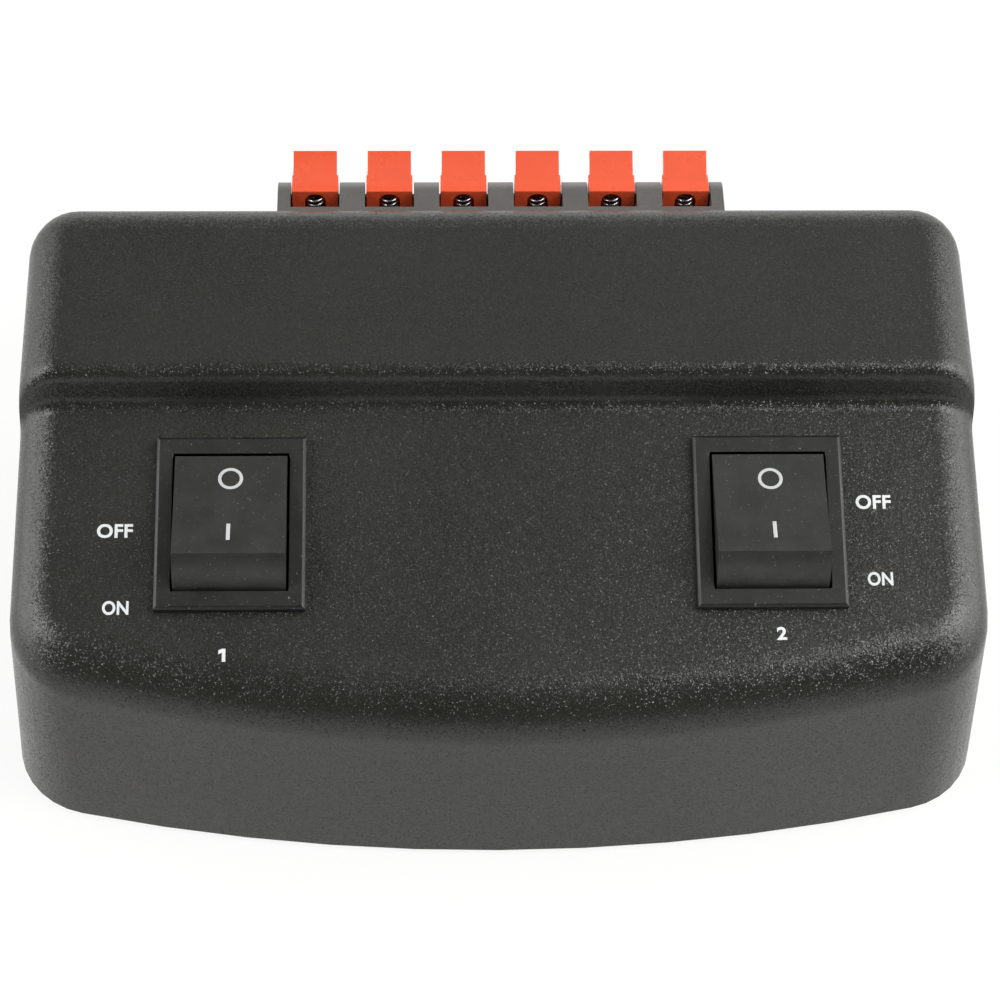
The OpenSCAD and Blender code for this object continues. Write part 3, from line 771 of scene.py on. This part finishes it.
@dataclass
class Case:
    """The moulded cover, the base plate under it, its screws and its feet."""

    edge: float = 0.25
    foot_edge: float = 0.3
    head: float = 5.6
    shank: float = 1.4

    def build(self) -> None:
        """Builds and dresses the case."""
        cover = recut("top_cover", "case_cover", 0.05)
        smooth(cover, 32)
        dress(cover, CASE)
        seat(cover, "case", "case_plastic", "top_cover")
        refine("base_plate", "case_base", BASE, "case", "base_plastic", self.edge, 2, 60)
        refine("rubber_feet", "case_feet", FOOT, "case", "foot_rubber", self.foot_edge, 3, 30)
        low, high = (Vector(c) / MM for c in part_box("base_screws"))
        reach = self.head / 2
        spots = [(x, y, low.z) for x in (low.x + reach, high.x - reach)
                 for y in (low.y + reach, high.y - reach)]
        screws = countersunk(
            "case_screws", self.head, self.shank, high.z - low.z, spots, Face.DOWN)
        dress(screws, ZINC)
        seat(screws, "case", "screw_steel", "base_screws")


def countersunk(
    name: str, head: float, shank: float, length: float, spots: list[Place], face: Face,
) -> bpy.types.Object:
    """Makes countersunk screws with cross recesses, as one piece.

    Args:
        name: the piece's name.
        head: the head's diameter.
        shank: the shank's radius.
        length: the screw's length.
        spots: the middle of each head's face.
        face: the way that the heads look.

    Returns:
        The screws.
    """
    rim, neck, tip, edge = 0.15, 2.9, 1.4, 0.07
    slot_wide, slot_deep = 0.62, 1.9
    first_turn, next_turn = 0.35, 0.9
    sink = (head - neck) / 2
    bpy.ops.object.select_all(action="DESELECT")
    bpy.ops.mesh.primitive_cylinder_add(
        vertices=40, radius=head / 2 * MM, depth=rim * MM, location=(0, 0, rim / 2 * MM))
    screw = named(name)
    bpy.ops.object.transform_apply(location=True)
    bpy.ops.object.mode_set(mode="EDIT")
    bpy.ops.mesh.select_mode(type="FACE")
    for rise, wide in ((sink, shank), (length - tip, shank), (length, shank * 0.25)):
        bpy.ops.mesh.select_all(action="DESELECT")
        bpy.ops.object.mode_set(mode="OBJECT")
        top = max(p.center.z for p in screw.data.polygons)
        reach = max(v.co.length_squared for v in screw.data.vertices
                    if abs(v.co.z - top) < 1e-7) - top * top
        for polygon in screw.data.polygons:
            polygon.select = polygon.center.z > top - 1e-7 and polygon.normal.z > 0.99
        now = math.sqrt(reach) / MM
        bpy.ops.object.mode_set(mode="EDIT")
        bpy.ops.mesh.extrude_region_move(
            TRANSFORM_OT_translate={"value": (0, 0, (rise * MM - top))})
        bpy.ops.transform.resize(value=(wide / now, wide / now, 1))
    bpy.ops.object.mode_set(mode="OBJECT")
    soften(screw, edge, 2, 50)
    cutters = []
    for turn in (0, math.pi / 2):
        bpy.ops.object.select_all(action="DESELECT")
        bpy.ops.mesh.primitive_cube_add(
            size=1, location=(0, 0, 0), rotation=(0, 0, turn),
            scale=(head / 2 * MM, slot_wide * MM, slot_deep * MM))
        cutters.append(named("recess"))
        bpy.ops.object.transform_apply(location=True, rotation=True, scale=True)
    for cutter in cutters:
        modify(screw, "BOOLEAN", object=cutter, operation="DIFFERENCE", solver="EXACT")
        bpy.data.objects.remove(cutter)
    take(screw)
    bpy.ops.object.shade_smooth_by_angle(angle=math.radians(35))
    tilt = Matrix.Identity(4) if face is Face.DOWN else Matrix.Rotation(math.pi / 2, 4, "X")
    copies = []
    for i, spot in enumerate(spots):
        copies.append(again(screw, f"{name}_{i + 1}"))
        spin = Matrix.Rotation(first_turn + next_turn * i, 4, "Z")
        move(copies[-1], Matrix.Translation(Vector(spot) * MM) @ tilt @ spin)
    bpy.data.objects.remove(screw)
    take(copies[0])
    for copy in copies[1:]:
        copy.select_set(True)
    bpy.ops.object.join()
    return named(name)


@dataclass
class RockerSwitch:
    """One double-pole rocker switch, with its blades, bridges, plungers and springs."""

    n: int
    edge: float = 0.16
    paddle_edge: float = 0.35
    blade_edge: float = 0.1
    bridge_edge: float = 0.08
    plunger_edge: float = 0.1
    pole: float = 5.0
    spring: float = 3.2
    wire: float = 0.45
    turns: int = 3
    rise: float = 7.4
    seat_at: float = -2.85

    def build(self) -> None:
        """Builds and dresses the switch."""
        n = self.n
        refine(
            f"switch_body_{n}", f"switch_{n}_housing", SWITCH,
            "case", "switch_plastic", self.edge, 3, 30)
        refine(
            f"rocker_{n}", f"switch_{n}_rocker", ROCKER,
            f"paddle_{n}", "rocker_plastic", self.paddle_edge, 4, 38)
        refine(
            f"switch_blades_{n}", f"switch_{n}_blades", BRASS,
            "case", "contact_brass", self.blade_edge)
        refine(
            f"contact_bridges_{n}", f"switch_{n}_bridges", COPPER,
            f"bridges_{n}", "contact_copper", self.bridge_edge)
        refine(
            f"rocker_plungers_{n}", f"switch_{n}_plungers", NYLON,
            f"paddle_{n}", "plunger_nylon", self.plunger_edge)
        self.springs()

    def springs(self) -> None:
        """Winds the two plunger springs."""
        first = coil(f"switch_{self.n}_spring", self.spring, self.wire, self.turns, self.rise)
        second = again(first, f"switch_{self.n}_spring_right")
        move(first, PANEL.rocker(self.n, -self.pole, 0, self.seat_at))
        move(second, PANEL.rocker(self.n, self.pole, 0, self.seat_at))
        take(first)
        second.select_set(True)
        bpy.ops.object.join()
        piece = named(f"switch_{self.n}_springs")
        dress(piece, SPRING)
        seat(piece, f"paddle_{self.n}", "spring_steel", f"plunger_springs_{self.n}")


@dataclass
class TerminalBlock:
    """The block of twelve spring wire terminals on the rear wall."""

    columns: int = 6
    edge: float = 0.18
    lever_edge: float = 0.22
    strip_edge: float = 0.08
    shank: float = 1.4
    spring: float = 3.3
    wire: float = 0.5
    turns: int = 5

    def build(self) -> None:
        """Builds and dresses the block, its strips, its screws and its levers."""
        refine("terminal_housing", "block_housing", BLOCK, "case", "block_plastic", self.edge)
        for row in Row:
            word = row.value
            refine(
                f"contact_strips_{word}", f"block_strips_{word}", BRASS,
                "case", "contact_brass", self.strip_edge)
            for column in range(1, self.columns + 1):
                self.lever(row, column)
        low, high = (Vector(c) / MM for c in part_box("terminal_screws"))
        middle = (low.z + high.z) / 2
        reach = (high.z - low.z) / 2
        spots = [(x, high.y, middle) for x in (low.x + reach, high.x - reach)]
        screws = countersunk(
            "block_screws", 2 * reach, self.shank, high.y - low.y, spots, Face.REAR)
        dress(screws, ZINC)
        seat(screws, "case", "screw_steel", "terminal_screws")

    def lever(self, row: Row, column: int) -> None:
        """Builds one push lever and its spring.

        Args:
            row: the row of the terminal.
            column: the terminal's number from the left, from 1.
        """
        word = row.value
        node = f"lever_{word}_{column}"
        refine(
            node, f"block_{node}", LEVER_RED if row is Row.RED else LEVER_BLACK,
            f"{word}_lever_{column}", f"lever_{word}", self.lever_edge, 3, 38)
        wound = f"lever_{word}_spring_{column}"
        low, high = (Vector(c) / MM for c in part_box(wound))
        spring = coil(f"block_{wound}", self.spring, self.wire, self.turns, high.z - low.z)
        foot = low.z if row is Row.RED else high.z
        turned = Matrix.Identity(4) if row is Row.RED else Matrix.Rotation(math.pi, 4, "X")
        middle = Vector(((low.x + high.x) / 2, (low.y + high.y) / 2, foot))
        move(spring, Matrix.Translation(middle * MM) @ turned)
        dress(spring, SPRING)
        seat(spring, "case", "spring_steel", wound)
        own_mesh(spring)


@dataclass
class Wiring:
    """The insulated wires inside the case."""

    levels: int = 2

    def build(self) -> None:
        """Rounds each wire and dresses it in its colour."""
        for node, finish, slot in (
            ("wires_input", WIRE_RED, "wire_red"),
            ("wires_link", WIRE_RED, "wire_red"),
            ("wires_output_1", WIRE_YELLOW, "wire_yellow"),
            ("wires_output_2", WIRE_YELLOW, "wire_yellow"),
            ("wires_return", WIRE_BLACK, "wire_black"),
        ):
            piece = recut(node, f"inside_{node}", 0.01)
            modify(piece, "SUBSURF", levels=self.levels, render_levels=self.levels)
            take(piece)
            bpy.ops.object.shade_smooth_by_angle(angle=math.radians(60))
            dress(piece, finish)
            seat(piece, "case", slot, node)


@dataclass
class Marks:
    """The printed marks on the panel and the moulded ones on the rockers."""

    proud: float = 0.03
    sunk: float = 0.12
    ring: float = 2.115
    stroke: float = 0.56
    bar_wide: float = 0.66
    bar_long: float = 3.42
    edge: float = 0.02
    bold: float = 0.028
    spacing: float = 1.04

    def build(self) -> None:
        """Makes every mark, where and as large as the photograph shows it."""
        for name, text, x, along, wide, high in (
            ("mark_off_1", "OFF", -65.24, -0.95, 6.07, 2.51),
            ("mark_on_1", "ON", -64.79, -14.65, 4.43, 2.47),
            ("mark_off_2", "OFF", 63.65, 3.74, 6.0, 2.55),
            ("mark_on_2", "ON", 64.14, -10.11, 4.33, 2.43),
            ("mark_number_2", "2", 47.0, -19.72, 1.68, 2.29),
        ):
            piece = self.word(name, text, wide, high)
            move(piece, PANEL.at(x, along))
            dress(piece, INK)
            seat(piece, "case", "case_plastic")
        numeral = self.one("mark_number_1", 1.2, 2.25)
        move(numeral, PANEL.at(-46.83, -23.03))
        dress(numeral, INK)
        seat(numeral, "case", "case_plastic")
        self.rocker(1, (0.0, 5.5), (-0.1, -5.36))
        self.rocker(2, (0.15, 5.1), (0.26, -5.33))

    def one(self, name: str, wide: float, high: float) -> bpy.types.Object:
        """Makes the numeral 1, a stem with a flag, as a thin solid.

        Args:
            name: the piece's name.
            wide: the numeral's width.
            high: its height.

        Returns:
            The numeral, centred on the origin and standing a little proud of it.
        """
        stem = wide * 0.5
        left = wide / 2 - stem
        fork = high * 0.2
        droop = high * 0.22
        taper = high * 0.1
        slack = 0.01
        bpy.ops.object.select_all(action="DESELECT")
        bpy.ops.mesh.primitive_plane_add(
            size=1, location=((wide - stem) / 2 * MM, 0, -self.sunk * MM))
        piece = named(name)
        piece.scale = (stem * MM, high * MM, 1)
        bpy.ops.object.transform_apply(location=True, scale=True)
        bpy.ops.object.mode_set(mode="EDIT")
        bpy.ops.mesh.select_all(action="SELECT")
        bpy.ops.mesh.bisect(plane_co=(0, fork * MM, 0), plane_no=(0, 1, 0))
        bpy.ops.mesh.select_mode(type="EDGE")
        bpy.ops.mesh.select_all(action="DESELECT")
        bpy.ops.object.mode_set(mode="OBJECT")
        for edge in piece.data.edges:
            ends = [piece.data.vertices[i].co for i in edge.vertices]
            edge.select = all(
                e.x < (left + slack) * MM and e.y > (fork - slack) * MM for e in ends)
        bpy.ops.object.mode_set(mode="EDIT")
        bpy.ops.mesh.extrude_edges_move(
            TRANSFORM_OT_translate={"value": (-(left + wide / 2) * MM, -droop * MM, 0)})
        bpy.ops.mesh.select_mode(type="VERT")
        bpy.ops.object.mode_set(mode="OBJECT")
        for vertex in piece.data.vertices:
            tip = vertex.co.x < (slack - wide / 2) * MM
            vertex.select = tip and vertex.co.y < (fork - droop / 2) * MM
        bpy.ops.object.mode_set(mode="EDIT")
        bpy.ops.transform.translate(value=(0, taper * MM, 0))
        bpy.ops.mesh.select_all(action="SELECT")
        bpy.ops.mesh.extrude_region_move(
            TRANSFORM_OT_translate={"value": (0, 0, (self.proud + self.sunk) * MM)})
        bpy.ops.mesh.select_all(action="SELECT")
        bpy.ops.mesh.normals_make_consistent(inside=False)
        bpy.ops.object.mode_set(mode="OBJECT")
        return piece

    def word(self, name: str, text: str, wide: float, high: float) -> bpy.types.Object:
        """Sets a word in bold type as a thin solid.

        Args:
            name: the piece's name.
            text: the letters.
            wide: the word's width.
            high: the height of its capitals.

        Returns:
            The word, centred on the origin and standing a little proud of it.
        """
        bpy.ops.object.select_all(action="DESELECT")
        bpy.ops.object.text_add()
        piece = named(name)
        piece.data.body = text
        piece.data.extrude = 0.1
        piece.data.offset = self.bold
        piece.data.resolution_u = 8
        piece.data.space_character = self.spacing
        bpy.ops.object.convert(target="MESH")
        piece = bpy.context.active_object
        corners = [v.co for v in piece.data.vertices]
        low = Vector(min(c[i] for c in corners) for i in range(3))
        size = Vector(max(c[i] for c in corners) for i in range(3)) - low
        grow = Matrix.Diagonal((
            wide * MM / size.x, high * MM / size.y, (self.proud + self.sunk) * MM / size.z, 1))
        lift = Matrix.Translation((0, 0, (self.proud - self.sunk) / 2 * MM))
        move(piece, lift @ grow @ Matrix.Translation(-(low + size / 2)))
        take(piece)
        bpy.ops.object.mode_set(mode="EDIT")
        bpy.ops.mesh.select_all(action="SELECT")
        bpy.ops.mesh.remove_doubles(threshold=1e-7)
        bpy.ops.mesh.normals_make_consistent(inside=False)
        bpy.ops.object.mode_set(mode="OBJECT")
        return piece

    def rocker(
        self, n: int, ring_at: tuple[float, float], bar_at: tuple[float, float],
    ) -> None:
        """Sets the ring and the bar into one rocker's top.

        Args:
            n: the switch's number, 1 or 2.
            ring_at: the ring's middle, to the right and to the rear of the rocker's.
            bar_at: the bar's middle, likewise.
        """
        bpy.ops.object.select_all(action="DESELECT")
        bpy.ops.mesh.primitive_cylinder_add(
            vertices=64, radius=self.ring * MM, depth=(self.proud + self.sunk) * MM,
            location=(0, 0, (self.proud - self.sunk) / 2 * MM))
        ring = named(f"switch_{n}_ring")
        bpy.ops.object.transform_apply(location=True)
        bpy.ops.object.mode_set(mode="EDIT")
        bpy.ops.mesh.select_mode(type="FACE")
        bpy.ops.mesh.select_all(action="DESELECT")
        bpy.ops.object.mode_set(mode="OBJECT")
        for polygon in ring.data.polygons:
            polygon.select = abs(polygon.normal.z) > 0.9
        bpy.ops.object.mode_set(mode="EDIT")
        bpy.ops.mesh.inset(thickness=self.stroke * MM)
        bpy.ops.mesh.bridge_edge_loops()
        bpy.ops.mesh.select_all(action="SELECT")
        bpy.ops.mesh.normals_make_consistent(inside=False)
        bpy.ops.object.mode_set(mode="OBJECT")
        soften(ring, self.edge, 2, 50)
        self.lay(ring, n, *ring_at)
        bpy.ops.object.select_all(action="DESELECT")
        bpy.ops.mesh.primitive_cube_add(
            size=1, location=(0, 0, (self.proud - self.sunk) / 2 * MM),
            scale=(self.bar_wide * MM, self.bar_long * MM, (self.proud + self.sunk) * MM))
        bar = named(f"switch_{n}_bar")
        bpy.ops.object.transform_apply(location=True, scale=True)
        soften(bar, self.edge, 2, 50)
        self.lay(bar, n, *bar_at)
        take(ring)
        bar.select_set(True)
        bpy.ops.object.join()
        piece = named(f"switch_{n}_marks")
        bpy.ops.object.shade_smooth_by_angle(angle=math.radians(35))
        dress(piece, PAINT)
        seat(piece, f"paddle_{n}", "rocker_plastic")

    def lay(self, mark: bpy.types.Object, n: int, x: float, along: float) -> None:
        """Lays a mark on a rocker's hollow top, leaning as the top does there.

        Args:
            mark: the mark, made round the origin.
            n: the switch's number, 1 or 2.
            x: the distance to the right of the rocker's middle.
            along: the distance to the rear of its pivot.
        """
        rise = PANEL.hollow(along + 0.5) - PANEL.hollow(along - 0.5)
        lean = Matrix.Rotation(math.atan2(rise, 1.0), 4, "X")
        move(mark, PANEL.rocker(n, x, along, PANEL.hollow(along)) @ lean)


# ---------------------------------------------------------------- studio


@dataclass
class Studio:
    """The white floor, the soft lights and the camera at the photograph's angle.

    The camera was fitted to the photograph. It looks past aim, in millimetres, and its
    angles are in degrees; focal and side are in the photograph's pixels. The lamps stand
    at reach from middle, in metres.
    """

    aim: Place = (0.0, -22.27, 52.55)
    tilt: float = 51.75
    yaw: float = 2.546
    roll: float = 1.776
    away: float = 524.42
    right: float = 0.245
    up: float = -2.791
    focal: float = 3100.0
    side: float = 1000.0
    sensor: float = 36.0
    backdrop: float = 1.76
    glow: float = 0.88
    under: float = 0.05
    reach: float = 0.95
    middle: Place = (0.0, -0.01, 0.04)

    def build(self) -> None:
        """Sets up the floor, the lights, the world and the camera."""
        self.floor()
        self.lamps()
        self.world()
        self.camera()
        bpy.context.scene.view_settings.view_transform = "Standard"

    def floor(self) -> None:
        """Lays a white floor that keeps the shadow and is clear when seen from below."""
        bpy.ops.object.select_all(action="DESELECT")
        bpy.ops.mesh.primitive_plane_add(size=6.0, location=(0, 0, -self.under * MM))
        plane = named("floor")
        material = bpy.data.materials.new("floor_white")
        material.use_nodes = True
        tree = material.node_tree
        surface = tree.nodes["Principled BSDF"]
        surface.inputs["Base Color"].default_value = (0.92, 0.9, 0.88, 1)
        surface.inputs["Roughness"].default_value = 0.8
        surface.inputs["Specular IOR Level"].default_value = 0.2
        glow = tree.nodes.new("ShaderNodeEmission")
        glow.inputs["Color"].default_value = (1, 1, 1, 1)
        mix = tree.nodes.new("ShaderNodeMixShader")
        rays = self.seen(tree)
        share = tree.nodes.new("ShaderNodeMath")
        share.operation = "MULTIPLY"
        share.inputs[1].default_value = self.glow
        tree.links.new(rays, share.inputs[0])
        tree.links.new(share.outputs[0], mix.inputs["Fac"])
        tree.links.new(surface.outputs[0], mix.inputs[1])
        tree.links.new(glow.outputs[0], mix.inputs[2])
        clear = tree.nodes.new("ShaderNodeBsdfTransparent")
        below = tree.nodes.new("ShaderNodeMixShader")
        tree.links.new(tree.nodes.new("ShaderNodeNewGeometry").outputs["Backfacing"],
                       below.inputs["Fac"])
        tree.links.new(mix.outputs[0], below.inputs[1])
        tree.links.new(clear.outputs[0], below.inputs[2])
        tree.links.new(below.outputs[0], tree.nodes["Material Output"].inputs["Surface"])
        plane.data.materials.append(material)

    def seen(self, tree: bpy.types.NodeTree) -> bpy.types.NodeSocket:
        """Adds the sum of camera, glossy and transmission rays.

        Args:
            tree: the node tree to add to.

        Returns:
            1 for those rays and 0 for the rest.
        """
        path = tree.nodes.new("ShaderNodeLightPath")
        first = tree.nodes.new("ShaderNodeMath")
        first.operation = "ADD"
        second = tree.nodes.new("ShaderNodeMath")
        second.operation = "ADD"
        second.use_clamp = True
        tree.links.new(path.outputs["Is Camera Ray"], first.inputs[0])
        tree.links.new(path.outputs["Is Glossy Ray"], first.inputs[1])
        tree.links.new(first.outputs[0], second.inputs[0])
        tree.links.new(path.outputs["Is Transmission Ray"], second.inputs[1])
        return second.outputs[0]

    def lamps(self) -> None:
        """Sets broad lights at the sides and overhead, and small ones towards the front."""
        for name, way, size, watts in (
            ("key", (0.42, -0.38, 0.82), 0.28, 1.9),
            ("top", (0.22, 0.2, 1.0), 0.8, 1.2),
            ("side_left", (-0.9, 0.0, 0.4), 1.0, 9.6),
            ("side_right", (0.9, 0.0, 0.4), 1.0, 10.5),
            ("shoulder_left", (-0.85, -0.3, 0.7), 0.3, 1.8),
            ("shoulder_right", (0.85, -0.3, 0.75), 0.35, 3.0),
        ):
            bpy.ops.object.select_all(action="DESELECT")
            direction = Vector(way).normalized()
            place = Vector(self.middle) + direction * self.reach
            bpy.ops.object.light_add(type="AREA", location=place)
            lamp = named(name)
            lamp.data.energy = watts
            lamp.data.size = size
            lamp.rotation_euler = direction.to_track_quat("Z", "Y").to_euler()

    def world(self) -> None:
        """Makes the surroundings bright behind, near the horizon, and dark elsewhere.

        The camera itself sees plain white.
        """
        world = bpy.data.worlds.new("studio")
        world.use_nodes = True
        bpy.context.scene.world = world
        tree = world.node_tree
        link = tree.links.new
        sky = tree.nodes["Background"]
        sky.inputs["Strength"].default_value = self.backdrop
        plain = tree.nodes.new("ShaderNodeBackground")
        plain.inputs["Color"].default_value = (1, 1, 1, 1)
        coords = tree.nodes.new("ShaderNodeTexCoord")
        split = tree.nodes.new("ShaderNodeSeparateXYZ")
        link(coords.outputs["Generated"], split.inputs[0])
        low = tree.nodes.new("ShaderNodeMapRange")
        low.inputs["To Min"].default_value = 1.0
        low.inputs["To Max"].default_value = 0.0
        link(split.outputs["Z"], low.inputs["Value"])
        behind = tree.nodes.new("ShaderNodeMath")
        behind.operation = "MULTIPLY"
        behind.use_clamp = True
        link(split.outputs["Y"], behind.inputs[0])
        link(low.outputs["Result"], behind.inputs[1])
        grey = tree.nodes.new("ShaderNodeCombineColor")
        for socket in grey.inputs[:3]:
            link(behind.outputs[0], socket)
        link(grey.outputs[0], sky.inputs["Color"])
        path = tree.nodes.new("ShaderNodeLightPath")
        mix = tree.nodes.new("ShaderNodeMixShader")
        link(path.outputs["Is Camera Ray"], mix.inputs["Fac"])
        link(sky.outputs[0], mix.inputs[1])
        link(plain.outputs[0], mix.inputs[2])
        link(mix.outputs[0], tree.nodes["World Output"].inputs["Surface"])

    def camera(self) -> None:
        """Places the camera as the photograph's."""
        tilt, yaw, roll = (math.radians(a) for a in (self.tilt, self.yaw, self.roll))
        across = Vector((1, 0, 0))
        upward = Vector((0, math.sin(tilt), math.cos(tilt)))
        ahead = Vector((0, math.cos(tilt), -math.sin(tilt)))
        turn = Matrix.Rotation(-yaw, 3, "Z")
        place = -self.right * across - self.up * upward - self.away * ahead
        place = (turn @ place + Vector(self.aim)) * MM
        x = turn @ (math.cos(roll) * across + math.sin(roll) * upward)
        y = turn @ (-math.sin(roll) * across + math.cos(roll) * upward)
        z = turn @ -ahead
        data = bpy.data.cameras.new("camera")
        data.sensor_width = self.sensor
        data.sensor_fit = "HORIZONTAL"
        data.lens = self.focal / self.side * self.sensor
        data.clip_start = 0.01
        camera = bpy.data.objects.new("camera", data)
        bpy.context.scene.collection.objects.link(camera)
        pose = Matrix((x, y, z)).transposed().to_4x4()
        pose.translation = place
        camera.matrix_world = pose
        bpy.context.scene.camera = camera


def main() -> None:
    """Builds the console."""
    logging.basicConfig(level=logging.INFO, format="%(name)s: %(message)s")
    Studio().build()
    Case().build()
    for n in (1, 2):
        RockerSwitch(n).build()
    TerminalBlock().build()
    Wiring().build()
    Marks().build()


if __name__ == "__main__":
    main()
